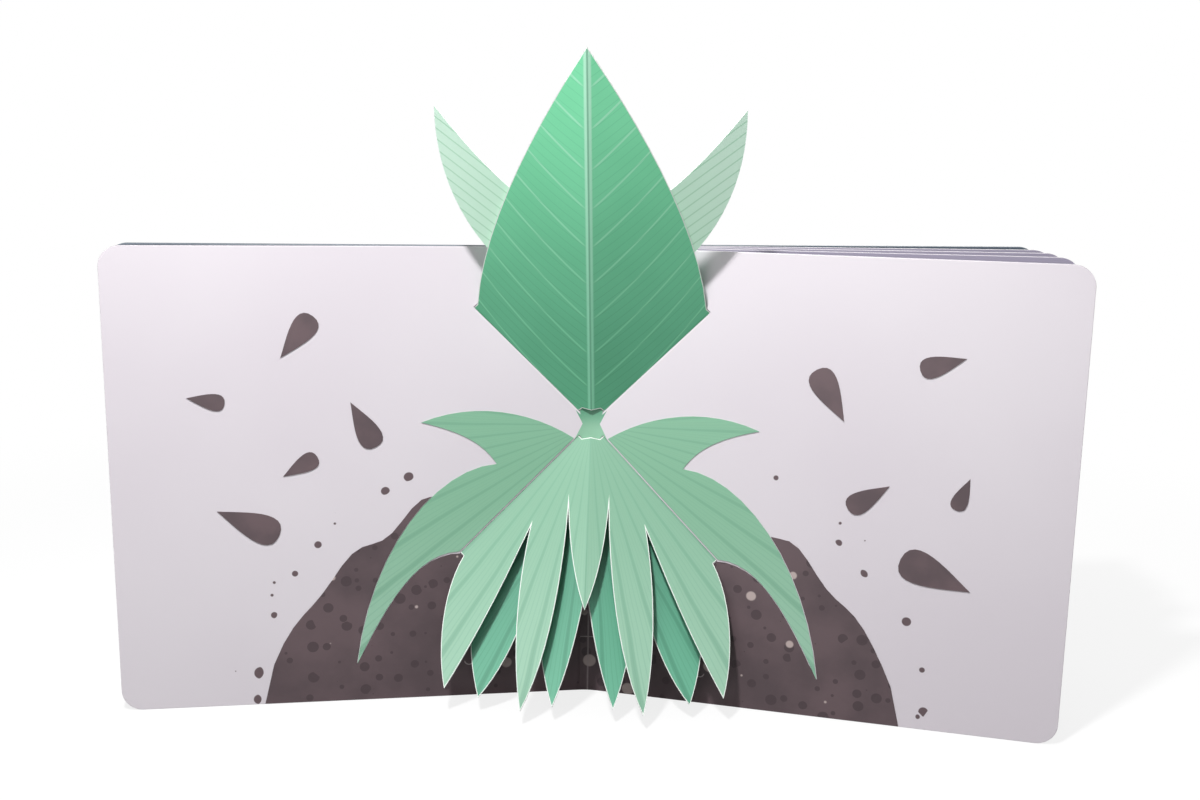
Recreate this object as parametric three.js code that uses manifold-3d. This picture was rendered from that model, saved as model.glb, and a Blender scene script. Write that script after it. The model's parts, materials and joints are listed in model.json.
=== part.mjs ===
// A children's pop-up board book, standing open on its lower edge.
// Millimetres, +Z up along the gutter, +X to the reader's right, -Y towards the reader.
// The origin is the foot of the gutter, on the surface that the book stands on.
import * as THREE from "three";
import { mergeVertices, toCreasedNormals } from "three/addons/utils/BufferGeometryUtils.js";
import Module from "manifold-3d";

const wasm = await Module();
wasm.setup();

// Boards and leaves
const pageWidth = 182;
const pageHeight = 180;
const cornerRadius = 8;
const leafThickness = 2;
const leafGap = 0.65; // air between two leaves at their roots
const coverThickness = 2.4;
const coverGap = 0.9; // air between a cover and its nearest leaf at the root
const gutterRadius = 20;
const rootLeft = 1.5; // the glued roots, measured from the gutter
const rootRight = 3;
const hingeReach = 7; // from the gutter to a cover's hinged edge
const spineThickness = 1;

// How far each board swings towards the reader, in degrees, from a book that lies flat open
const leftLeafTurn = 7;
const rightLeafTurns = [16, 7.5, 2.5, -1.5];
const frontCoverTurn = 4.5;
const backCoverTurn = -5.5;

// The pop-up cards, which fold on a crease above the gutter and are glued at 45 degrees to it
const cardThickness = 0.5;
const glueAngle = THREE.MathUtils.degToRad(45);
const upperApex = 112; // height of the fold's foot on the gutter
const frontApex = 110.5;
const rearApex = 92.5;
const tabStart = 6.5; // from the apex, along the glue line
const tabDepth = 0.5;
const creaseStart = 5;
const tallLeafLength = 150;
const tallLeafReach = 64; // glue line, from the apex to the card's outer edge
const frontFrondReach = 72;
const rearFrondReach = 62;
const frondFloorGap = 6; // from the lowest frond's tip to the standing surface

// The printed fields
const printThickness = 0.2;
const printGap = 0.1;
const printInset = 1.2; // from a card's glue line to the print beside it
const moundHeight = 97;
const moundReach = { left: 128, right: 124 };

const clearance = 0.3; // between pieces that touch or seat in one another
const arcSteps = 12;
const foldOverlap = 0.01;

const up = new THREE.Vector3(0, 0, 1);
const down = new THREE.Vector3(0, 0, -1);
const leafPitch = leafThickness + leafGap;
const rootDepth = leafPitch * (rightLeafTurns.length - 1) + leafThickness;

// side is -1 on the reader's left and 1 on the right
function boardDirection(side, turn) {
  const angle = THREE.MathUtils.degToRad(turn);
  return new THREE.Vector3(side * Math.cos(angle), -Math.sin(angle), 0);
}

function boardBack(side, turn) {
  const angle = THREE.MathUtils.degToRad(turn);
  return new THREE.Vector3(side * Math.sin(angle), Math.cos(angle), 0);
}

const leftPage = boardDirection(-1, leftLeafTurn);
const rightPage = boardDirection(1, rightLeafTurns[0]);
const towardsReader = leftPage.clone().add(rightPage).normalize();
const halfOpening = towardsReader.angleTo(rightPage);

// A fold whose glue lines and panels share one angle leans this far off the gutter
const creaseLean = 2 * Math.atan(Math.tan(glueAngle) * Math.cos(halfOpening));
const panelSlope = Math.asin((Math.sin(creaseLean) * Math.sin(halfOpening)) / Math.sin(glueAngle));
const tabReach = tabDepth / Math.sin(panelSlope);
const footClear = (cardThickness * Math.cos(panelSlope) + clearance) / Math.sin(panelSlope);

function solid(geometry) {
  const bare = new THREE.BufferGeometry();
  bare.setAttribute("position", geometry.getAttribute("position"));
  bare.setIndex(geometry.index);
  const merged = mergeVertices(bare, 1e-4);
  const vertProperties = merged.getAttribute("position").array;
  const triVerts = new Uint32Array(merged.index.array);
  return new wasm.Manifold(new wasm.Mesh({ numProp: 3, vertProperties, triVerts }));
}

function piece(name, body, color, roughness) {
  const shape = body.getMesh();
  const geometry = new THREE.BufferGeometry();
  geometry.setAttribute("position", new THREE.BufferAttribute(shape.vertProperties, 3));
  geometry.setIndex(new THREE.BufferAttribute(shape.triVerts, 1));
  const material = new THREE.MeshStandardMaterial({ color, roughness, metalness: 0 });
  const mesh = new THREE.Mesh(toCreasedNormals(geometry, Math.PI / 9), material);
  mesh.name = name;
  return mesh;
}

// A flat sheet on the plane of two directions. Its front face, towards the reader, lies
// the distance "behind" at the back of that plane.
function sheet(outline, thickness, origin, across, along, behind = 0) {
  const facing = new THREE.Vector3().crossVectors(across, along);
  const start = facing.y < 0 ? -thickness - behind : behind;
  const settings = { depth: thickness, bevelEnabled: false, curveSegments: arcSteps };
  const geometry = new THREE.ExtrudeGeometry(outline, settings);
  geometry.translate(0, 0, start);
  geometry.applyMatrix4(new THREE.Matrix4().makeBasis(across, along, facing).setPosition(origin));
  return solid(geometry);
}

// A section in plan, raised to the height of the pages
function upright(section) {
  const settings = { depth: pageHeight, bevelEnabled: false, curveSegments: arcSteps };
  return solid(new THREE.ExtrudeGeometry(section, settings));
}

// A board from its root to the fore edge, with two round outer corners
function boardOutline(root) {
  const outline = new THREE.Shape();
  const cornerAcross = pageWidth - cornerRadius;
  const cornerUp = pageHeight - cornerRadius;
  outline.moveTo(root, 0);
  outline.lineTo(cornerAcross, 0);
  outline.absarc(cornerAcross, cornerRadius, cornerRadius, -Math.PI / 2, 0);
  outline.absarc(cornerAcross, cornerUp, cornerRadius, 0, Math.PI / 2);
  outline.lineTo(root, pageHeight);
  return outline;
}

function leaf(side, turn, depth) {
  const root = new THREE.Vector3(0, depth, 0);
  return sheet(boardOutline(0), leafThickness, root, boardDirection(side, turn), up);
}

// The roots of the leaves, glued into one block, with the rounded gutter at its front
function rootSection() {
  const bend = (Math.PI - 2 * halfOpening) / 2;
  const tangent = gutterRadius * Math.tan(bend);
  const centre = towardsReader.clone().multiplyScalar(gutterRadius / Math.cos(bend));
  const leftEnd = leftPage.clone().multiplyScalar(tangent);
  const rightEnd = rightPage.clone().multiplyScalar(tangent);
  const startAngle = Math.atan2(leftEnd.y - centre.y, leftEnd.x - centre.x);
  const endAngle = Math.atan2(rightEnd.y - centre.y, rightEnd.x - centre.x);
  const inLeaf = leafThickness / 2;
  const leftInside = leftEnd.clone().addScaledVector(boardBack(-1, leftLeafTurn), inLeaf);
  const rightInside = rightEnd.clone().addScaledVector(boardBack(1, rightLeafTurns[0]), inLeaf);
  const section = new THREE.Shape();
  section.moveTo(rightInside.x, rightInside.y);
  section.lineTo(rootRight, rightInside.y + inLeaf);
  section.lineTo(rootRight, rootDepth);
  section.lineTo(-rootLeft, rootDepth);
  section.lineTo(-rootLeft, leftInside.y + inLeaf);
  section.lineTo(leftInside.x, leftInside.y);
  section.absarc(centre.x, centre.y, gutterRadius, startAngle, endAngle, true);
  return section;
}

// The two directions that span one half of a fold, which rises or falls from its apex
function panelFrame(side, rise) {
  const page = side < 0 ? leftPage : rightPage;
  const along = up.clone().multiplyScalar(rise * Math.cos(creaseLean));
  along.addScaledVector(towardsReader, Math.sin(creaseLean));
  const glue = up.clone().multiplyScalar(rise * Math.cos(glueAngle));
  glue.addScaledVector(page, Math.sin(glueAngle));
  const across = glue.clone().addScaledVector(along, -Math.cos(glueAngle));
  return { across: across.normalize(), along };
}

// Half of space, on one side of the plane that halves the open book
function halfSpace(side) {
  const size = 4 * pageWidth;
  const across = new THREE.Vector3().crossVectors(up, towardsReader).multiplyScalar(side);
  const along = new THREE.Vector3().crossVectors(up, across);
  const geometry = new THREE.BoxGeometry(size, size, size);
  geometry.translate(size / 2 - foldOverlap, 0, 0);
  geometry.applyMatrix4(new THREE.Matrix4().makeBasis(across, along, up));
  return solid(geometry);
}

function foldedCard(outline, apex, rise, behind = 0) {
  const origin = new THREE.Vector3(0, 0, apex);
  const half = (side) => {
    const { across, along } = panelFrame(side, rise);
    const panel = sheet(outline, cardThickness, origin, across, along, behind);
    return panel.intersect(halfSpace(side));
  };
  return half(-1).add(half(1));
}

// A point given along a glue line and outwards from it, in a panel's own plane
function gluePoint(distance, outwards) {
  const across = distance * Math.sin(glueAngle) + outwards * Math.cos(glueAngle);
  const along = distance * Math.cos(glueAngle) - outwards * Math.sin(glueAngle);
  return new THREE.Vector2(across, along);
}

// Closes half a card along its glue line, with the tab that seats in the page's slit
function closeWithTab(outline, reach) {
  const corners = [
    gluePoint(reach, -footClear),
    gluePoint(reach, tabReach),
    gluePoint(tabStart, tabReach),
    gluePoint(tabStart, -footClear),
  ];
  corners.forEach((corner) => outline.lineTo(corner.x, corner.y));
  return outline;
}

// The slits that a card's two tabs go through, as solids to cut away
function slits(apex, rise, reach) {
  const origin = new THREE.Vector3(0, 0, apex);
  const width = cardThickness + 2 * clearance;
  const bottom = (tabDepth + clearance) / Math.sin(panelSlope);
  const outline = new THREE.Shape([
    gluePoint(tabStart - clearance, -2 * footClear),
    gluePoint(tabStart - clearance, bottom),
    gluePoint(reach + clearance, bottom),
    gluePoint(reach + clearance, -2 * footClear),
  ]);
  return [-1, 1].map((side) => {
    const { across, along } = panelFrame(side, rise);
    return sheet(outline, width, origin, across, along, -clearance);
  });
}

const cardSlits = [
  ...slits(upperApex, 1, tallLeafReach),
  ...slits(frontApex, -1, frontFrondReach),
  ...slits(rearApex, -1, rearFrondReach),
];

function cutAway(body, cutters) {
  return cutters.reduce((rest, cutter) => rest.subtract(cutter), body);
}

function pageBlock() {
  const leaves = rightLeafTurns.map((turn, i) => leaf(1, turn, i * leafPitch));
  const glued = leaves.reduce((all, one) => all.add(one), leaf(-1, leftLeafTurn, 0));
  return cutAway(glued.add(upright(rootSection())), cardSlits);
}

// A cover hangs on its outer face's inner edge, where the spine's paper folds
const covers = {
  front: { side: -1, turn: frontCoverTurn, depth: leafThickness + coverGap },
  back: { side: 1, turn: backCoverTurn, depth: rootDepth + coverGap },
};

function coverHinge({ side, turn, depth }) {
  const point = new THREE.Vector3(0, depth, 0);
  point.addScaledVector(boardDirection(side, turn), hingeReach);
  return point.addScaledVector(boardBack(side, turn), coverThickness);
}

function cover({ side, turn, depth }) {
  const root = new THREE.Vector3(0, depth, 0);
  return sheet(boardOutline(hingeReach), coverThickness, root, boardDirection(side, turn), up);
}

// A card strip, bowed from hinge to hinge around the corner of the glued roots
function spineSection() {
  const from = coverHinge(covers.front);
  const to = coverHinge(covers.back);
  const chord = to.clone().sub(from);
  const middle = from.clone().addScaledVector(chord, 0.5);
  const outwards = new THREE.Vector3().crossVectors(up, chord).normalize();
  const rootCorner = new THREE.Vector3(-rootLeft, rootDepth, 0).sub(middle);
  const bow = rootCorner.dot(outwards) + clearance + spineThickness;
  const radius = (chord.lengthSq() / 4 + bow * bow) / (2 * bow);
  const centre = middle.clone().addScaledVector(outwards, bow - radius);
  const heading = Math.atan2(outwards.y, outwards.x);
  const half = Math.asin(chord.length() / 2 / radius) - (3 * clearance) / radius;
  const inner = radius - spineThickness;
  const section = new THREE.Shape();
  section.absarc(centre.x, centre.y, radius, heading - half, heading + half);
  section.absarc(centre.x, centre.y, inner, heading + half, heading - half, true);
  return section;
}

function tallLeafOutline() {
  const outline = new THREE.Shape();
  const shoulder = gluePoint(tallLeafReach, -footClear);
  outline.moveTo(0, creaseStart);
  outline.lineTo(0, tallLeafLength);
  outline.bezierCurveTo(14, 128, 40, 84, shoulder.x, shoulder.y);
  return closeWithTab(outline, tallLeafReach);
}

// Two side leaves on one folded card, glued to the back of the tall leaf
function sideLeavesOutline() {
  const outline = new THREE.Shape();
  outline.moveTo(0, 58);
  outline.lineTo(0, 84);
  outline.bezierCurveTo(18, 84, 34, 96, 56, 124);
  outline.bezierCurveTo(57, 104, 52, 84, 37, 68);
  outline.quadraticCurveTo(20, 56, 0, 58);
  return outline;
}

// Drooping fronds: a middle one on the crease and two more on each side
function frontFrondOutline() {
  const longest = (frontApex - frondFloorGap) / Math.cos(creaseLean);
  const shoulder = gluePoint(frontFrondReach, -footClear);
  const outline = new THREE.Shape();
  outline.moveTo(0, creaseStart);
  outline.lineTo(0, 72);
  outline.quadraticCurveTo(6.5, 56, 8, 32);
  outline.bezierCurveTo(9, 56, 13, 90, 24, longest - 2.5);
  outline.bezierCurveTo(28, 92, 28, 66, 23, 40);
  outline.bezierCurveTo(31, 58, 42, 82, 55, longest - 10);
  outline.bezierCurveTo(59, 88, 58, 66, shoulder.x, shoulder.y);
  return closeWithTab(outline, frontFrondReach);
}

function rearFrondOutline() {
  const longest = (rearApex - frondFloorGap) / Math.cos(creaseLean);
  const shoulder = gluePoint(rearFrondReach, -footClear);
  const outline = new THREE.Shape();
  outline.moveTo(0, creaseStart);
  outline.lineTo(0, 46);
  outline.bezierCurveTo(2, 58, 5, 76, 12, longest - 1.5);
  outline.bezierCurveTo(18, 76, 20, 58, 19, 36);
  outline.bezierCurveTo(23, 56, 30, 76, 42, longest - 4);
  outline.bezierCurveTo(47, 74, 48, 58, shoulder.x, shoulder.y);
  return closeWithTab(outline, rearFrondReach);
}

// The outer fronds, printed flat on the page beyond the glue line, in the fold's own measures
function printedFrondOutline(offGlueLine) {
  const from = gluePoint(tabStart + 2, offGlueLine);
  const to = gluePoint(frontFrondReach, offGlueLine);
  const outline = new THREE.Shape();
  outline.moveTo(from.x, from.y);
  outline.bezierCurveTo(24, -6, 46, -10, 66, -2);
  outline.bezierCurveTo(50, 2, 42, 7, 37, 15);
  outline.bezierCurveTo(60, 16, 86, 48, 92, 95);
  outline.bezierCurveTo(80, 70, 68, 50, to.x, to.y);
  return outline;
}

// An outline with its points moved outwards
function grown(outline, margin) {
  const points = outline.getPoints(arcSteps);
  const last = points.length - 1;
  if (points[0].distanceTo(points[last]) < margin / 10) points.pop();
  const turning = Math.sign(THREE.ShapeUtils.area(points));
  return new THREE.Shape(
    points.map((point, i) => {
      const before = points.at(i - 1);
      const after = points[(i + 1) % points.length];
      const along = after.clone().sub(before).normalize();
      return new THREE.Vector2(along.y, -along.x).multiplyScalar(turning * margin).add(point);
    }),
  );
}

// A heap of soil, printed from the gutter's curve outwards, with a wavy upper edge
function moundOutline(reach, phase) {
  const innerEdge = gutterRadius * Math.tan(Math.PI / 2 - halfOpening) + clearance;
  const waves = 4.5;
  const waveHeight = 3;
  const steps = 32;
  const edge = [];
  for (let i = 0; i <= steps; i++) {
    const part = 1 - i / steps;
    const wave = waveHeight * Math.sin(2 * Math.PI * waves * part + phase) * Math.sin(Math.PI * part);
    const height = clearance + (moundHeight - clearance) * Math.cos((Math.PI / 2) * part) ** 0.6;
    edge.push(new THREE.Vector2(innerEdge + (reach - innerEdge) * part, height + wave));
  }
  return new THREE.Shape([new THREE.Vector2(innerEdge, clearance), ...edge]);
}

// A flat field on a page, which stands off it by the print's gap
function printField(outline, side, height, along, thickness = printThickness) {
  const page = side < 0 ? leftPage : rightPage;
  const origin = new THREE.Vector3(0, 0, height);
  const middle = printGap + printThickness / 2;
  return sheet(outline, thickness, origin, page, along, -middle - thickness / 2);
}

function frondPrint(side) {
  return printField(printedFrondOutline(printInset), side, frontApex, down);
}

function moundPrint(side, reach, phase) {
  const cuts = [grown(printedFrondOutline(printInset), clearance), printedFrondOutline(0)];
  const fronds = cuts.map((cut) => printField(cut, side, frontApex, down, 2 * printThickness));
  const mound = printField(moundOutline(reach, phase), side, 0, up);
  return cutAway(mound, [...fronds, ...cardSlits]);
}

// Seeds strewn over the pages, each a pointed oval given by its place, length and lean
const seeds = {
  left: [
    { from: 132, height: 74, length: 25, lean: 24 },
    { from: 112, height: 96, length: 15, lean: -30 },
    { from: 88, height: 112, length: 20, lean: 62 },
    { from: 146, height: 122, length: 14, lean: 10 },
    { from: 112, height: 146, length: 20, lean: -52 },
  ],
  right: [
    { from: 134, height: 62, length: 28, lean: -22 },
    { from: 108, height: 90, length: 18, lean: 34 },
    { from: 142, height: 94, length: 13, lean: 70 },
    { from: 92, height: 128, length: 22, lean: -60 },
    { from: 132, height: 142, length: 17, lean: 18 },
  ],
};

function seedOutline({ from, height, length, lean }) {
  const width = length * 0.46;
  const point = (along, across) => {
    const turned = new THREE.Vector2(along, across);
    return turned.rotateAround(new THREE.Vector2(), THREE.MathUtils.degToRad(lean)).add({ x: from, y: height });
  };
  const curve = (...points) => new THREE.CubicBezierCurve(...points.map(([x, y]) => point(x, y)));
  const tip = [length / 2, 0];
  const round = [-length / 2, 0];
  const outline = new THREE.Shape();
  outline.add(curve(tip, [length / 6, width / 4], [-length / 2, width], round));
  outline.add(curve(round, [-length / 2, -width], [length / 6, -width / 4], tip));
  return outline;
}

function seedPrints(name, side) {
  return seeds[name].map((seed, i) => {
    const field = printField(seedOutline(seed), side, 0, up);
    return piece(`${name}_seed_print_${i + 1}`, field, soil, 0.45);
  });
}

const paper = "#d9d3da";
const coverGrey = "#5d6b75";
const soil = "#5f5357";
const book = new THREE.Group();
book.add(
  piece("page_block", pageBlock(), paper, 0.45),
  piece("front_cover", cover(covers.front), coverGrey, 0.5),
  piece("back_cover", cover(covers.back), coverGrey, 0.5),
  piece("spine", upright(spineSection()), coverGrey, 0.5),
  piece("tall_leaf_card", foldedCard(tallLeafOutline(), upperApex, 1), "#6fc491", 0.5),
  piece(
    "side_leaves_card",
    foldedCard(sideLeavesOutline(), upperApex, 1, cardThickness + clearance),
    "#b9e6c8",
    0.5,
  ),
  piece("front_frond_card", foldedCard(frontFrondOutline(), frontApex, -1), "#a1cbb1", 0.5),
  piece("rear_frond_card", foldedCard(rearFrondOutline(), rearApex, -1), "#66a98e", 0.5),
  piece("left_mound_print", moundPrint(-1, moundReach.left, 0), soil, 0.45),
  piece("right_mound_print", moundPrint(1, moundReach.right, 2), soil, 0.45),
  piece("left_frond_print", frondPrint(-1), "#8fbfa5", 0.45),
  piece("right_frond_print", frondPrint(1), "#8fbfa5", 0.45),
  ...seedPrints("left", -1),
  ...seedPrints("right", 1),
);

export default book;
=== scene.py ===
"""The looks of a children's pop-up board book that stands open on its lower edge.

Metres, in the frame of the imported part: +Z up along the gutter, +X to the reader's
right, -Y towards the reader, and the origin at the foot of the gutter.
"""
import json
import math

import bmesh
import bpy
from mathutils import Matrix, Vector


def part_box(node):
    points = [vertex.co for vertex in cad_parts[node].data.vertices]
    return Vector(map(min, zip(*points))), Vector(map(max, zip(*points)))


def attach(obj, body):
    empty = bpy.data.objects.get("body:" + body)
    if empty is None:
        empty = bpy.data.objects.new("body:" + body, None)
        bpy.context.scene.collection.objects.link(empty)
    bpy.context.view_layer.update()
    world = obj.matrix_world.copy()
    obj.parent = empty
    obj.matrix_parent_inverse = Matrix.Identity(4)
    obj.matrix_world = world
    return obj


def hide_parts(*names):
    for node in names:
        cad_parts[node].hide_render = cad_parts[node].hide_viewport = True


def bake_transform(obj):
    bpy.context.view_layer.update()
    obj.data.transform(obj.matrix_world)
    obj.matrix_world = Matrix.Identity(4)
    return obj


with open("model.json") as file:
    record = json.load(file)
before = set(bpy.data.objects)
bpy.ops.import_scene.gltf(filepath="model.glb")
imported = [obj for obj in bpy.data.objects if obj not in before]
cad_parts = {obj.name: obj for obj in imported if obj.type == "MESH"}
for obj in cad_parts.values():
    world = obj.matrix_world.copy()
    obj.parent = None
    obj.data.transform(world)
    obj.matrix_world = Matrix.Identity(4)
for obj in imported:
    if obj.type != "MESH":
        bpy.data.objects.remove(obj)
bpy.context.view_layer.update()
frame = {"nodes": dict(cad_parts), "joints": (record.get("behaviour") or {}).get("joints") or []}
nodes = frame["nodes"]

# The camera stands half a metre in front of the book, a little above its top edge, and
# looks slightly down. Its place was fitted to the corners of the boards.
MM = 0.001
UP = Vector((0, 0, 1))
IMAGE_WIDTH = 1200
FOCAL_PIXELS = 1344
SENSOR = 36
CAMERA_PLACE = Vector((-11.2, -514.5, 222.6)) * MM
CAMERA_YAW = 0.0281
CAMERA_PITCH = 0.196
CAMERA_ROLL = 0.0158

ahead = Vector((
    math.sin(CAMERA_YAW) * math.cos(CAMERA_PITCH),
    math.cos(CAMERA_YAW) * math.cos(CAMERA_PITCH),
    -math.sin(CAMERA_PITCH),
))
level = Vector((math.cos(CAMERA_YAW), -math.sin(CAMERA_YAW), 0))
right = level * math.cos(CAMERA_ROLL) + level.cross(ahead) * math.sin(CAMERA_ROLL)
camera = bpy.data.objects.new("camera", bpy.data.cameras.new("camera"))
camera.data.sensor_width = SENSOR
camera.data.lens = FOCAL_PIXELS / IMAGE_WIDTH * SENSOR
camera.matrix_world = Matrix.Translation(CAMERA_PLACE) @ Matrix((
    right, right.cross(ahead), -ahead)).transposed().to_4x4()
bpy.context.scene.collection.objects.link(camera)
bpy.context.scene.camera = camera


# The page block: five leaves of grey board, faced with white paper that is printed and
# laminated, die cut with round corners, and glued together at their roots.
LEFT_TURN = math.radians(7)
RIGHT_TURN = math.radians(16)
GROUND_HEIGHT = 97 * MM
GUTTER_PRINT = 5 * MM
UPPER_APEX = 112 * MM
UPPER_GLUE_REACH = 45 * MM
STEM_HEIGHT = 111 * MM
CROSS_HEIGHT = 23 * MM
DIE_ARCS = ((-14, 12, 2.6), (-21, 30, 1.8), (-47, 15, 1.8), (45, 13, 1.8))  # mm
PAGE_WHITE = "#ddd7dd"
BOARD_CORE = "#a29ba0"
OTHER_PAGES = "#9f99ab"
left_page = Vector((-math.cos(LEFT_TURN), -math.sin(LEFT_TURN), 0))
right_page = Vector((math.cos(RIGHT_TURN), -math.sin(RIGHT_TURN), 0))
to_reader = (left_page + right_page).normalized()
across_book = UP.cross(to_reader)


def linear(colour):
    """A colour written as #rrggbb, as the linear values that a shader takes."""
    parts = [int(colour[i:i + 2], 16) / 255 for i in (1, 3, 5)]
    return [p / 12.92 if p <= 0.04045 else ((p + 0.055) / 1.055) ** 2.4 for p in parts] + [1]


class Value:
    """A number socket that takes part in Python arithmetic by way of Math nodes."""

    def __init__(self, paint, socket):
        self.paint = paint
        self.socket = socket

    def math(self, operation, *values):
        return self.paint.node("Math", {"operation": operation}, values)

    def __add__(self, other):
        return self.math("ADD", self, other)

    def __sub__(self, other):
        return self.math("SUBTRACT", self, other)

    def __rsub__(self, other):
        return self.math("SUBTRACT", other, self)

    def __mul__(self, other):
        return self.math("MULTIPLY", self, other)

    def __truediv__(self, other):
        return self.math("DIVIDE", self, other)

    def __pow__(self, other):
        return self.math("POWER", self, other)

    def __abs__(self):
        return self.math("ABSOLUTE", self)

    def larger(self, other):
        return self.math("MAXIMUM", self, other)

    def smaller(self, other):
        return self.math("MINIMUM", self, other)

    def ramp(self, low, high):
        """0 up to low, 1 from high on, and smooth in between."""
        return self.paint.node("MapRange", {"interpolation_type": "SMOOTHSTEP"}, [self, low, high])

    def line(self, spacing, width):
        """1 on lines that repeat at the spacing, 0 between them."""
        return 1 - abs(self.math("PINGPONG", self, spacing / 2)).ramp(width / 4, width / 2)


class Paint:
    """A material of printed paper, whose pattern is worked out from the place on the piece."""

    def __init__(self, name, roughness=0.42, coat=0.15):
        self.material = bpy.data.materials.new(name)
        self.material.use_nodes = True
        self.tree = self.material.node_tree
        self.shader = self.tree.nodes["Principled BSDF"]
        self.shader.inputs["Roughness"].default_value = roughness
        self.shader.inputs["Coat Weight"].default_value = coat
        self.shader.inputs["Coat Roughness"].default_value = 0.3
        self.shader.inputs["Specular IOR Level"].default_value = 0.4
        place = self.tree.nodes.new("ShaderNodeTexCoord").outputs["Object"]
        self.place = Value(self, place)
        facing = self.tree.nodes.new("ShaderNodeTexCoord").outputs["Normal"]
        self.facing = Value(self, facing)

    def node(self, kind, settings, values, output=0):
        made = self.tree.nodes.new("ShaderNode" + kind)
        for name, setting in settings.items():
            setattr(made, name, setting)
        pairs = values.items() if isinstance(values, dict) else enumerate(values)
        for key, value in pairs:
            if isinstance(value, Value):
                self.tree.links.new(value.socket, made.inputs[key])
            else:
                made.inputs[key].default_value = value
        return Value(self, made.outputs[output])

    def along(self, direction, vector=None):
        """How far a vector, or else the place on the piece, reaches in a direction."""
        values = [vector or self.place, tuple(direction)]
        return self.node("VectorMath", {"operation": "DOT_PRODUCT"}, values, "Value")

    def mix(self, first, second, share):
        """One colour turning into another as share goes from 0 to 1."""
        first, second = (linear(c) if isinstance(c, str) else c for c in (first, second))
        settings = {"data_type": "RGBA"}
        return self.node("Mix", settings, {0: share, 6: first, 7: second}, 2)

    def noise(self, scale, detail=3.0):
        values = {"Vector": self.place, "Scale": scale, "Detail": detail}
        return self.node("TexNoise", {}, values)

    def flat_place(self, across, height):
        return self.node("CombineXYZ", {}, [across, height, 0.0])

    def dots(self, vector, scale, smallest, largest, seed=0.0):
        """Round dots of chance sizes, one in some of the cells of a jittered grid."""
        moved = self.node("VectorMath", {"operation": "ADD"}, [vector, (seed, seed, seed)])
        values = {"Vector": moved, "Scale": scale}
        away = self.node("TexVoronoi", {"voronoi_dimensions": "2D"}, values)
        chance = self.node("TexVoronoi", {"voronoi_dimensions": "2D"}, values, "Color")
        size = self.node("SeparateColor", {}, [chance]) * (largest - smallest) + smallest
        return 1 - away.math("SUBTRACT", away, size).ramp(-0.02, 0.02)

    def finish(self, colour, bump=None, depth=0.02):
        self.tree.links.new(colour.socket, self.shader.inputs["Base Color"])
        if bump:
            values = {"Height": bump, "Strength": 0.5, "Distance": depth * MM}
            normal = self.node("Bump", {}, values)
            self.tree.links.new(normal.socket, self.shader.inputs["Normal"])
        return self.material


def dress(piece, material):
    """Gives a piece one material in place of any that it has."""
    piece.data.materials.clear()
    piece.data.materials.append(material)


def board_edge(paint):
    """1 on a board's cut edges, 0 on its two faces."""
    upright = abs(paint.along(UP, paint.facing))
    sideways = abs(paint.along((1, 0, 0), paint.facing))
    return upright.larger(sideways).ramp(0.55, 0.65)


def page_distance(paint):
    """How far from the gutter, along whichever page a point of the spread lies on."""
    return paint.along(left_page).larger(paint.along(right_page))


def pale_marks(paint, across, height):
    """The worn fold of the gutter, a small cross on it, and arcs that the die has cut."""
    marks = (1 - abs(across).ramp(0.15 * MM, 0.45 * MM)) * 0.6
    cross = (1 - abs(height - CROSS_HEIGHT).ramp(0.1 * MM, 0.25 * MM)) \
        * (1 - abs(across).ramp(3.1 * MM, 3.2 * MM))
    marks = marks.larger(cross)
    for place, base, radius in DIE_ARCS:
        low = height - base * MM
        ring = abs(((across - place * MM) ** 2 + low ** 2) ** 0.5 - radius * MM)
        arc = (1 - ring.ramp(0.12 * MM, 0.3 * MM)) * (1 - low.ramp(-0.4 * radius * MM, 0.0))
        marks = marks.larger(arc)
    return marks


def soil_colour(paint):
    """Brown ground with darker crumbs, a few pale grains and the marks of the die."""
    height = paint.along(UP)
    across = paint.along(across_book)
    spot = paint.flat_place(across, height)
    mottle = paint.noise(38.0, 4.0).ramp(0.35, 0.68)
    ground = paint.mix("#67575b", "#584b4f", mottle)
    crumbs = paint.dots(spot, 150.0, -0.12, 0.34)
    ground = paint.mix(ground, linear("#493d41"), crumbs * 0.75)
    grains = paint.dots(spot, 62.0, -0.42, 0.17, seed=0.37)
    ground = paint.mix(ground, linear("#b9a9a6"), grains)
    return paint.mix(ground, linear("#b3a6a8"), pale_marks(paint, across, height))


def open_spread(paint):
    """1 on the two faces that the book is opened at, 0 on the rest of the leaves."""
    front = paint.along(to_reader, paint.facing).ramp(0.5, 0.6)
    left_depth = paint.along(UP.cross(left_page))
    right_depth = paint.along(right_page.cross(UP))
    return front * left_depth.smaller(right_depth).ramp(-0.8 * MM, -0.4 * MM)


def with_gutter_soil(paint, paper, away, height, on_spread):
    """The soil goes on over the gutter, between the two printed heaps."""
    in_gutter = 1 - away.ramp(GUTTER_PRINT, GUTTER_PRINT * 1.04)
    below = 1 - height.ramp(GROUND_HEIGHT - 0.3 * MM, GROUND_HEIGHT)
    return paint.mix(paper, soil_colour(paint), in_gutter * below * on_spread)


def with_stem(paint, paper, away, height, on_spread):
    """A short green stem in the gutter, between the upper and the lower cards, with painted shade
    that darkens its top under the upper card.
    """
    off_middle = abs(height - STEM_HEIGHT)
    narrow = 1 - (away - off_middle * 0.5).ramp(3.4 * MM, 3.5 * MM)
    short = 1 - off_middle.ramp(13 * MM, 13.1 * MM)
    # Painted shade: darker towards the top, where the upper card hangs over the stem.
    painted_shade = height.ramp(STEM_HEIGHT - 3 * MM, STEM_HEIGHT + 6 * MM)
    green = paint.mix("#8fbfa2", "#5f9c7e", painted_shade)
    return paint.mix(paper, green, narrow * short * on_spread)


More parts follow.
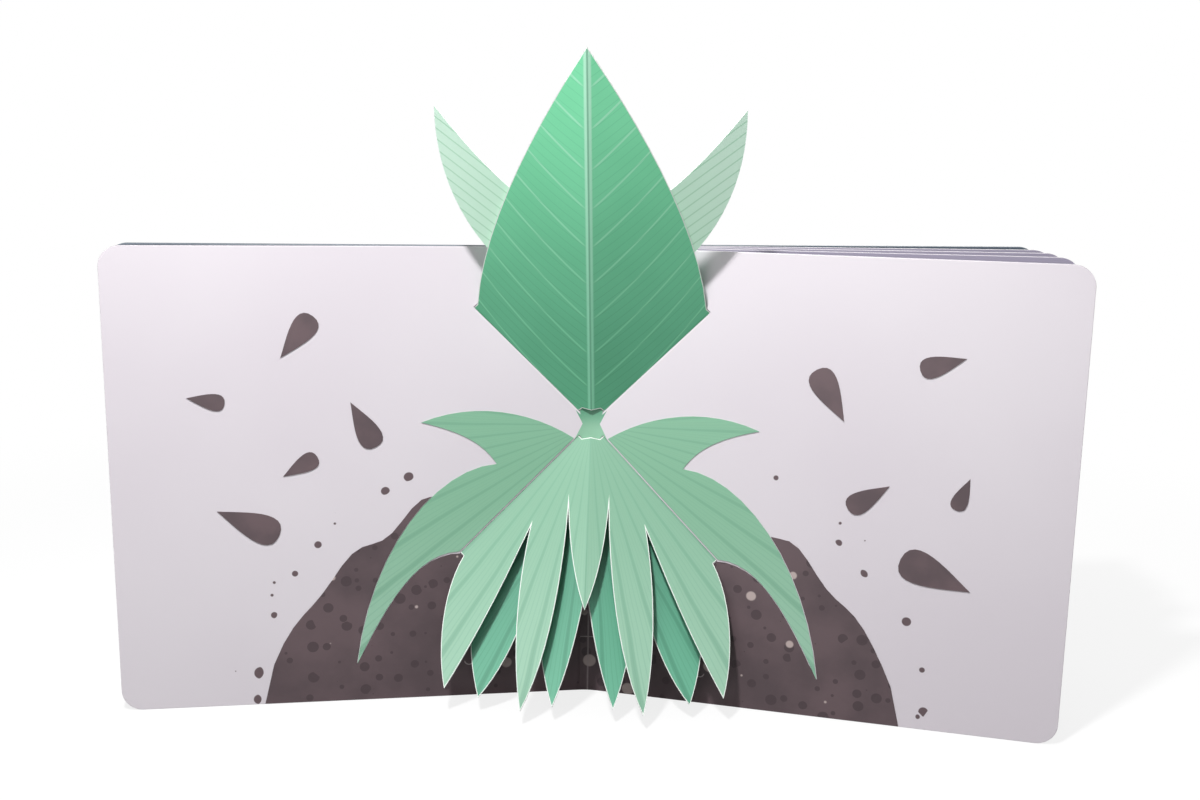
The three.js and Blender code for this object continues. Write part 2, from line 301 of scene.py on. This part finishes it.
def with_glue_lines(paint, paper, away, height, on_spread):
    """The paper is pressed up in a pale line beside the upper card, with a groove by it, whose
    shade is painted as a dark line.
    """
    off_glue = (height - UPPER_APEX - away) * math.sqrt(0.5)
    inner = away.ramp(4 * MM, 5 * MM)
    outer = 1 - away.ramp(UPPER_GLUE_REACH, UPPER_GLUE_REACH + 0.5 * MM)
    beside_card = inner * outer * on_spread
    pressed = 1 - abs(off_glue + 0.9 * MM).ramp(0.15 * MM, 0.4 * MM)
    # Painted shade: a dark line where the groove beside the pressed line lies in shadow.
    groove_shade = 1 - abs(off_glue + 0.4 * MM).ramp(0.1 * MM, 0.35 * MM)
    paper = paint.mix(paper, linear("#e4dfe4"), pressed * beside_card)
    return paint.mix(paper, linear("#8f8a90"), groove_shade * beside_card * 0.8)


def with_spatter(paint, paper, away, height, on_spread):
    """Dots of soil in a ring around the heap, smaller towards the ring's edges."""
    ring = ((away / (126 * MM)) ** 2 + (height / (103 * MM)) ** 2) ** 0.5
    near = ring.ramp(1.0, 1.04) * (1 - ring.ramp(1.05, 1.2)) * away.ramp(60 * MM, 70 * MM)
    spot = paint.flat_place(paint.along(across_book), height)
    spatter = paint.dots(spot, 120.0, near * 0.34 - 0.5, near * 0.6 - 0.3, seed=0.61)
    return paint.mix(paper, linear("#67575b"), spatter * on_spread)


def page_paint():
    paint = Paint("page_paper", roughness=0.38, coat=0.25)
    height = paint.along(UP)
    away = page_distance(paint)
    on_spread = open_spread(paint)
    tint = paint.noise(9.0, 2.0).ramp(0.3, 0.7)
    paper = paint.mix(PAGE_WHITE, "#d8d1d8", tint)
    paper = paint.mix(paint.mix(OTHER_PAGES, "#928c9f", tint), paper, on_spread)
    for printed in (with_gutter_soil, with_stem, with_glue_lines, with_spatter):
        paper = printed(paint, paper, away, height, on_spread)
    layers = paint.noise(900.0, 2.0)
    core = paint.mix(BOARD_CORE, "#b9b2b7", layers)
    grain = paint.noise(1400.0, 2.0)
    return paint.finish(paint.mix(paper, core, board_edge(paint)), grain, 0.012)


def clean_copy(node):
    """A CAD node's shape with its flat faces whole again, ready to be finished."""
    shape = bmesh.new()
    shape.from_mesh(nodes[node].data)
    bmesh.ops.remove_doubles(shape, verts=shape.verts, dist=0.001 * MM)
    bmesh.ops.dissolve_limit(
        shape, angle_limit=math.radians(1), verts=shape.verts, edges=shape.edges)
    return shape


def as_piece(shape, name, body, slot, materials, *replaced):
    """Makes the finished shape an object that moves with a body of the frame."""
    mesh = bpy.data.meshes.new(name)
    shape.to_mesh(mesh)
    shape.free()
    piece = bpy.data.objects.new(name, mesh)
    bpy.context.scene.collection.objects.link(piece)
    for material in materials:
        mesh.materials.append(material)
    if replaced:
        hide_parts(*replaced)
    if body:
        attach(piece, body)
    return piece


def soften(shape, radius, stays_sharp=lambda vertex: False):
    """Rounds the die-cut corners of a board, apart from those that stay sharp."""
    sharp = [
        edge for edge in shape.edges
        if edge.is_manifold and edge.calc_face_angle() > math.radians(50)
        and not any(stays_sharp(vertex) for vertex in edge.verts)
    ]
    bmesh.ops.bevel(
        shape, geom=sharp, offset=radius, segments=2, affect="EDGES", profile=0.5,
        material=-1, clamp_overlap=True)


def is_inside_page(vertex):
    """True away from the outer edges of the leaves, where the slits and the roots are."""
    low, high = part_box("page_block")
    inset = 1 * MM
    return low.z + inset < vertex.co.z < high.z - inset and abs(vertex.co.x) < 165 * MM


leaves = clean_copy("page_block")
soften(leaves, 0.2 * MM, is_inside_page)
as_piece(leaves, "board_leaves", "pages", "page_board", [page_paint()], "page_block")


# The two covers and the spine: grey board wrapped in slate-coloured printed paper, so
# that their edges show the paper's colour and not the board's.
COVER_SLATE = "#5a6570"


def cover_paint():
    paint = Paint("cover_paper", roughness=0.4, coat=0.3)
    cloudy = paint.noise(14.0, 3.0).ramp(0.3, 0.7)
    wrap = paint.mix(COVER_SLATE, "#545e69", cloudy)
    rubbed = board_edge(paint) * paint.noise(160.0, 3.0).ramp(0.62, 0.72)
    wrap = paint.mix(wrap, linear("#8d9298"), rubbed * 0.6)
    return paint.finish(wrap, paint.noise(1200.0), 0.015)


cover_material = cover_paint()
for cover_name in ("front_cover", "back_cover"):
    cover_board = clean_copy(cover_name)
    soften(cover_board, 0.4 * MM)
    as_piece(cover_board, cover_name + "_board", cover_name, "cover_board",
             [cover_material], cover_name)
dress(nodes["spine"], cover_material)


# The hinges: the slate paper runs on from the spine over each cover, and bends where the
# boards end. It is modelled as one strip for each cover, glued to both.
HINGE_PAPER = 0.2 * MM
ON_COVER = 6 * MM
ON_SPINE = 5 * MM
PAPER_STAND_OFF = 0.06 * MM
SPINE_THICKNESS = 1 * MM
COVER_STEPS = (1, 0.75, 0.5, 0.3, 0.15, 0.05)  # shares of ON_COVER, closer near the fold


def cover_direction(cover_name, side, fold):
    """From the fold towards the cover's outer edge."""
    vertices = nodes[cover_name].data.vertices
    outer = max((v.co for v in vertices), key=lambda co: co.x * side + co.y)
    return Vector((outer.x - fold.x, outer.y - fold.y, 0)).normalized()


def paper_on_spine(fold, back):
    """Points a little off the outside of the spine, from the fold inwards."""
    foot = [v.co for v in nodes["spine"].data.vertices if v.co.z < MM]
    foot = [Vector((co.x, co.y, 0)) for co in foot]
    chord = (sum(foot, Vector()) / len(foot) - fold).normalized()
    outwards = Vector((-chord.y, chord.x, 0))
    outwards *= 1 if outwards.dot(back) > 0 else -1
    near = [point for point in foot if (point - fold).length < ON_SPINE]
    near.sort(key=lambda point: (point - fold).length)

    def is_outside(point):
        return all(
            (point - other).dot(outwards) >= -SPINE_THICKNESS / 2
            or (point - other).length > 1.3 * SPINE_THICKNESS for other in near)

    return [point + outwards * PAPER_STAND_OFF for point in near if is_outside(point)]


def hinge_strip(cover_name, side):
    """The paper from a cover, round its fold and on to the spine, as one bent strip."""
    joint = next(j for j in frame["joints"] if j["child"] == cover_name)
    fold = Vector((joint["pos_m"][0], joint["pos_m"][1], 0))
    low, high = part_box(cover_name)
    cover_way = cover_direction(cover_name, side, fold)
    back = Vector((-cover_way.y, cover_way.x, 0)) * side
    path = [fold + cover_way * ON_COVER * part + back * PAPER_STAND_OFF for part in COVER_STEPS]
    path += paper_on_spine(fold, back)
    shape = bmesh.new()
    verts = [shape.verts.new(point) for point in path]
    edges = [shape.edges.new(pair) for pair in zip(verts, verts[1:])]
    lifted = bmesh.ops.extrude_edge_only(shape, edges=edges)["geom"]
    lift = [part for part in lifted if isinstance(part, bmesh.types.BMVert)]
    bmesh.ops.translate(shape, verts=lift, vec=UP * (high.z - low.z))
    bmesh.ops.recalc_face_normals(shape, faces=shape.faces)
    if sum(face.normal.dot(back) for face in shape.faces) < 0:
        bmesh.ops.reverse_faces(shape, faces=shape.faces)
    bmesh.ops.solidify(shape, geom=shape.faces, thickness=-HINGE_PAPER)
    piece = as_piece(shape, cover_name + "_hinge_paper", None, "cover_board", [cover_material])
    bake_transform(piece)


hinge_strip("front_cover", -1)
hinge_strip("back_cover", 1)


# The upper pop-up: one folded card with a crease down its middle, printed as a tall leaf.
# It is glued through slits in the page, and its cut edges show the white card.
GLUE_ANGLE = math.radians(45)
CARD_WHITE = "#eef3ee"
CUT_RIM = 0.3 * MM
half_opening = to_reader.angle(right_page)
crease_lean = 2 * math.atan(math.tan(GLUE_ANGLE) * math.cos(half_opening))


def panel_directions(rise):
    """The right half of a fold: along its crease, and across the panel from the crease."""
    along = UP * rise * math.cos(crease_lean) + to_reader * math.sin(crease_lean)
    glue = UP * rise * math.cos(GLUE_ANGLE) + right_page * math.sin(GLUE_ANGLE)
    return along, (glue - along * math.cos(GLUE_ANGLE)).normalized()


def fold_place(paint, apex, rise):
    """A point's distance across the panel from the crease, and along the crease."""
    along, across = panel_directions(rise)
    height = paint.along(UP) - apex
    forward = paint.along(to_reader)
    sideways = abs(paint.along(across_book))

    def reach(direction):
        parts = (height, direction.z), (forward, direction.dot(to_reader))
        total = sideways * direction.dot(across_book)
        for value, share in parts:
            total = total + value * share
        return total

    return reach(across), reach(along)


def card_edge(paint, rise):
    """1 on a folded card's cut edges, 0 on the faces of its two panels."""
    along, across = panel_directions(rise)
    face = across.cross(along)
    mirrored = face - across_book * 2 * face.dot(across_book)
    right_face = abs(paint.along(face, paint.facing))
    left_face = abs(paint.along(mirrored, paint.facing))
    return 1 - right_face.larger(left_face).ramp(0.8, 0.9)


def crease_line(across):
    """The fine scored line where a card folds."""
    return 1 - across.ramp(0.12 * MM, 0.45 * MM)


def tall_leaf_paint():
    paint = Paint("tall_leaf_print", roughness=0.4, coat=0.2)
    across, along = fold_place(paint, UPPER_APEX, 1)
    # The green darkens from the tip to the base: partly the print, partly painted shade for the
    # light that falls off down the leaf.
    height = along.ramp(20 * MM, 150 * MM)
    green = paint.mix("#68ba92", "#8defba", height)
    softer = paint.noise(26.0, 3.0).ramp(0.3, 0.7)
    green = paint.mix(green, paint.mix("#5eab85", "#7ee2ad", height), softer * 0.5)
    slant = along - across * 0.85 - across * across * 6.0
    veins = slant.line(15 * MM, 1.3 * MM) * across.ramp(0.5 * MM, 3 * MM)
    fine = (slant + across * 0.2).line(3.75 * MM, 0.4 * MM)
    green = paint.mix(green, paint.mix("#86d4ab", "#b8f8d6", height), veins * 0.7)
    green = paint.mix(green, paint.mix("#4c8d6d", "#6ccf9b", height), fine * 0.35)
    midrib = 1 - across.ramp(0.9 * MM, 1.6 * MM)
    green = paint.mix(green, paint.mix("#96ddba", "#c8fbe0", height), midrib * 0.8)
    green = paint.mix(green, linear("#4f9574"), crease_line(across) * 0.6)
    card = paint.mix(green, linear(CARD_WHITE), card_edge(paint, 1))
    return paint.finish(card, crease_line(across), -0.1)




def cut_edge_paint():
    paint = Paint("card_cut_edge", roughness=0.6, coat=0.0)
    return paint.finish(paint.mix(CARD_WHITE, "#dfe8e0", paint.noise(300.0)))


cut_edge_material = cut_edge_paint()


def card_piece(node, name, slot, rise, printed):
    """A card whose print stops just short of its cut edges, which the die leaves white."""
    along, across = panel_directions(rise)
    face = across.cross(along)
    mirrored = face - across_book * 2 * face.dot(across_book)
    card = clean_copy(node)
    fronts = [
        part for part in card.faces if part.normal.dot(to_reader) > 0
        and max(abs(part.normal.dot(face)), abs(part.normal.dot(mirrored))) > 0.99
    ]
    rim = bmesh.ops.inset_region(
        card, faces=fronts, thickness=CUT_RIM, use_boundary=True, use_even_offset=True)
    for part in rim["faces"]:
        part.material_index = 1
    as_piece(card, name, "pages", slot, [printed, cut_edge_material], node)


card_piece("tall_leaf_card", "tall_leaf", "mid_green_card", 1, tall_leaf_paint())


# The side leaves: a second folded card, glued to the back of the first, that stands out
# on both sides of it in a paler green.
def side_leaf_paint():
    paint = Paint("side_leaf_print", roughness=0.42, coat=0.2)
    across, along = fold_place(paint, UPPER_APEX, 1)
    tone = (across + along * 0.4).ramp(30 * MM, 105 * MM)
    green = paint.mix("#c2f0d2", "#dcfde9", tone)
    streaks = (along - across * 0.72).line(4.2 * MM, 0.8 * MM)
    green = paint.mix(green, linear("#8fcfa6"), streaks * 0.5)
    return paint.finish(paint.mix(green, linear("#f2f6f1"), card_edge(paint, 1)))


dress(nodes["side_leaves_card"], side_leaf_paint())


# The lower pop-ups: two folded cards, one behind the other, that come down from the
# gutter as drooping fronds. They are die cut, so their edges show the white card.
FRONT_APEX = 110.5 * MM
REAR_APEX = 92.5 * MM


def frond_green(paint, across, along, dark, light, streak):
    """Streaks that spread from the root of the plant, lighter towards the tips."""
    turn = across.math("ARCTAN2", across, along)
    wander = paint.noise(22.0, 2.0) * 0.03
    length = along.ramp(15 * MM, 112 * MM)
    green = paint.mix(dark, light, length)
    broad = (turn + wander).line(0.115, 0.03)
    fine = (turn + wander).line(0.023, 0.006)
    green = paint.mix(green, linear(streak), broad * 0.55)
    return paint.mix(green, linear(streak), fine * 0.25)


def frond_paint(name, apex, dark, light, streak):
    paint = Paint(name, roughness=0.42, coat=0.2)
    across, along = fold_place(paint, apex, -1)
    green = frond_green(paint, across, along, dark, light, streak)
    green = paint.mix(green, linear(streak), crease_line(across) * 0.7)
    card = paint.mix(green, linear("#eff3ee"), card_edge(paint, -1))
    return paint.finish(card, crease_line(across), -0.1)


card_piece("front_frond_card", "front_fronds", "frond_card", -1,
           frond_paint("front_frond_print", FRONT_APEX, "#82ae94", "#9ac3ab", "#74a48b"))
card_piece("rear_frond_card", "rear_fronds", "dark_frond_card", -1,
           frond_paint("rear_frond_print", REAR_APEX, "#5c9c82", "#6db496", "#4d8a71"))


# The printed fields of the open spread: a heap of soil on each page, and the outer fronds.
def soil_paint():
    paint = Paint("soil_ink", roughness=0.4, coat=0.25)
    return paint.finish(soil_colour(paint), paint.noise(1400.0, 2.0), 0.012)


def printed_frond_paint():
    paint = Paint("frond_ink", roughness=0.4, coat=0.25)
    across = page_distance(paint)
    along = FRONT_APEX - paint.along(UP)
    green = frond_green(paint, across, along, "#86b89a", "#a0cab2", "#75a88c")
    return paint.finish(green, paint.noise(1400.0, 2.0), 0.012)


def seed_paint():
    paint = Paint("seed_ink", roughness=0.4, coat=0.25)
    tone = paint.noise(70.0, 3.0).ramp(0.35, 0.65)
    return paint.finish(paint.mix("#6b5a5e", "#5d5054", tone), paint.noise(1400.0, 2.0), 0.012)


soil_material = soil_paint()
seed_material = seed_paint()
frond_material = printed_frond_paint()
for side in ("left", "right"):
    dress(nodes[side + "_mound_print"], soil_material)
    dress(nodes[side + "_frond_print"], frond_material)
    for number in range(1, 6):
        dress(nodes[f"{side}_seed_print_{number}"], seed_material)


# The studio: a plain white floor, a small soft light high on the left in front that
# draws the cards' shadows, broad ones low in front and behind, and a white sky.
FLOOR_GLOW = 0.82
FLOOR_HALF_WIDTH = 6
SKY_STRENGTH = 0.34


def stage_sheet():
    shape = bmesh.new()
    bmesh.ops.create_grid(shape, x_segments=1, y_segments=1, size=FLOOR_HALF_WIDTH)
    mesh = bpy.data.meshes.new("floor")
    shape.to_mesh(mesh)
    shape.free()
    floor = bpy.data.objects.new("floor", mesh)
    bpy.context.scene.collection.objects.link(floor)
    return floor


def floor_paint():
    """White to the camera, with a faint shadow, and grey to the light that it throws back."""
    paint = Paint("floor_white", roughness=0.9, coat=0.0)
    seen = paint.node("LightPath", {}, [])
    white = paint.mix("#ffffff", "#fdfdfd", paint.noise(0.1))
    material = paint.finish(paint.mix("#6f6f6f", white, seen))
    glow = paint.node("Emission", {}, {"Color": (1, 1, 1, 1), "Strength": 1.0})
    both = paint.tree.nodes.new("ShaderNodeMixShader")
    away = (paint.along((1, 0, 0)) ** 2 + paint.along((0, 1, 0)) ** 2) ** 0.5
    share = away.ramp(0.25, 0.6) * (1 - FLOOR_GLOW) + FLOOR_GLOW
    paint.tree.links.new((seen * share).socket, both.inputs[0])
    paint.tree.links.new(paint.shader.outputs[0], both.inputs[1])
    paint.tree.links.new(glow.socket, both.inputs[2])
    paint.tree.links.new(both.outputs[0], paint.tree.nodes["Material Output"].inputs["Surface"])
    return material


dress(stage_sheet(), floor_paint())


def soft_light(name, place, target, size, power):
    lamp = bpy.data.lights.new(name, "AREA")
    lamp.shape = "DISK"
    lamp.size = size
    lamp.energy = power
    light = bpy.data.objects.new(name, lamp)
    light.location = place
    light.rotation_euler = (Vector(target) - Vector(place)).to_track_quat("-Z", "Y").to_euler()
    bpy.context.scene.collection.objects.link(light)


soft_light("key_light", (-0.12, -0.33, 0.62), (0, 0, 0.12), 0.05, 4.5)
soft_light("fill_light", (-0.55, -1.15, 0.12), (0, 0, 0.12), 1.0, 5.0)
soft_light("back_light", (0.35, 1.1, 0.75), (0, 0, 0.12), 1.0, 6.0)


def studio_sky():
    """Even light all round, with pure white where the camera looks past the floor."""
    world = bpy.data.worlds.new("studio")
    world.use_nodes = True
    tree = world.node_tree
    background = tree.nodes["Background"]
    background.inputs["Strength"].default_value = SKY_STRENGTH
    white = tree.nodes.new("ShaderNodeBackground")
    white.inputs["Color"].default_value = (1, 1, 1, 1)
    background.inputs["Color"].default_value = (1, 1, 1, 1)
    seen = tree.nodes.new("ShaderNodeLightPath")
    both = tree.nodes.new("ShaderNodeMixShader")
    tree.links.new(seen.outputs["Is Camera Ray"], both.inputs[0])
    tree.links.new(background.outputs[0], both.inputs[1])
    tree.links.new(white.outputs[0], both.inputs[2])
    tree.links.new(both.outputs[0], tree.nodes["World Output"].inputs["Surface"])
    return world


bpy.context.scene.world = studio_sky()
bpy.context.scene.view_settings.view_transform = "Standard"
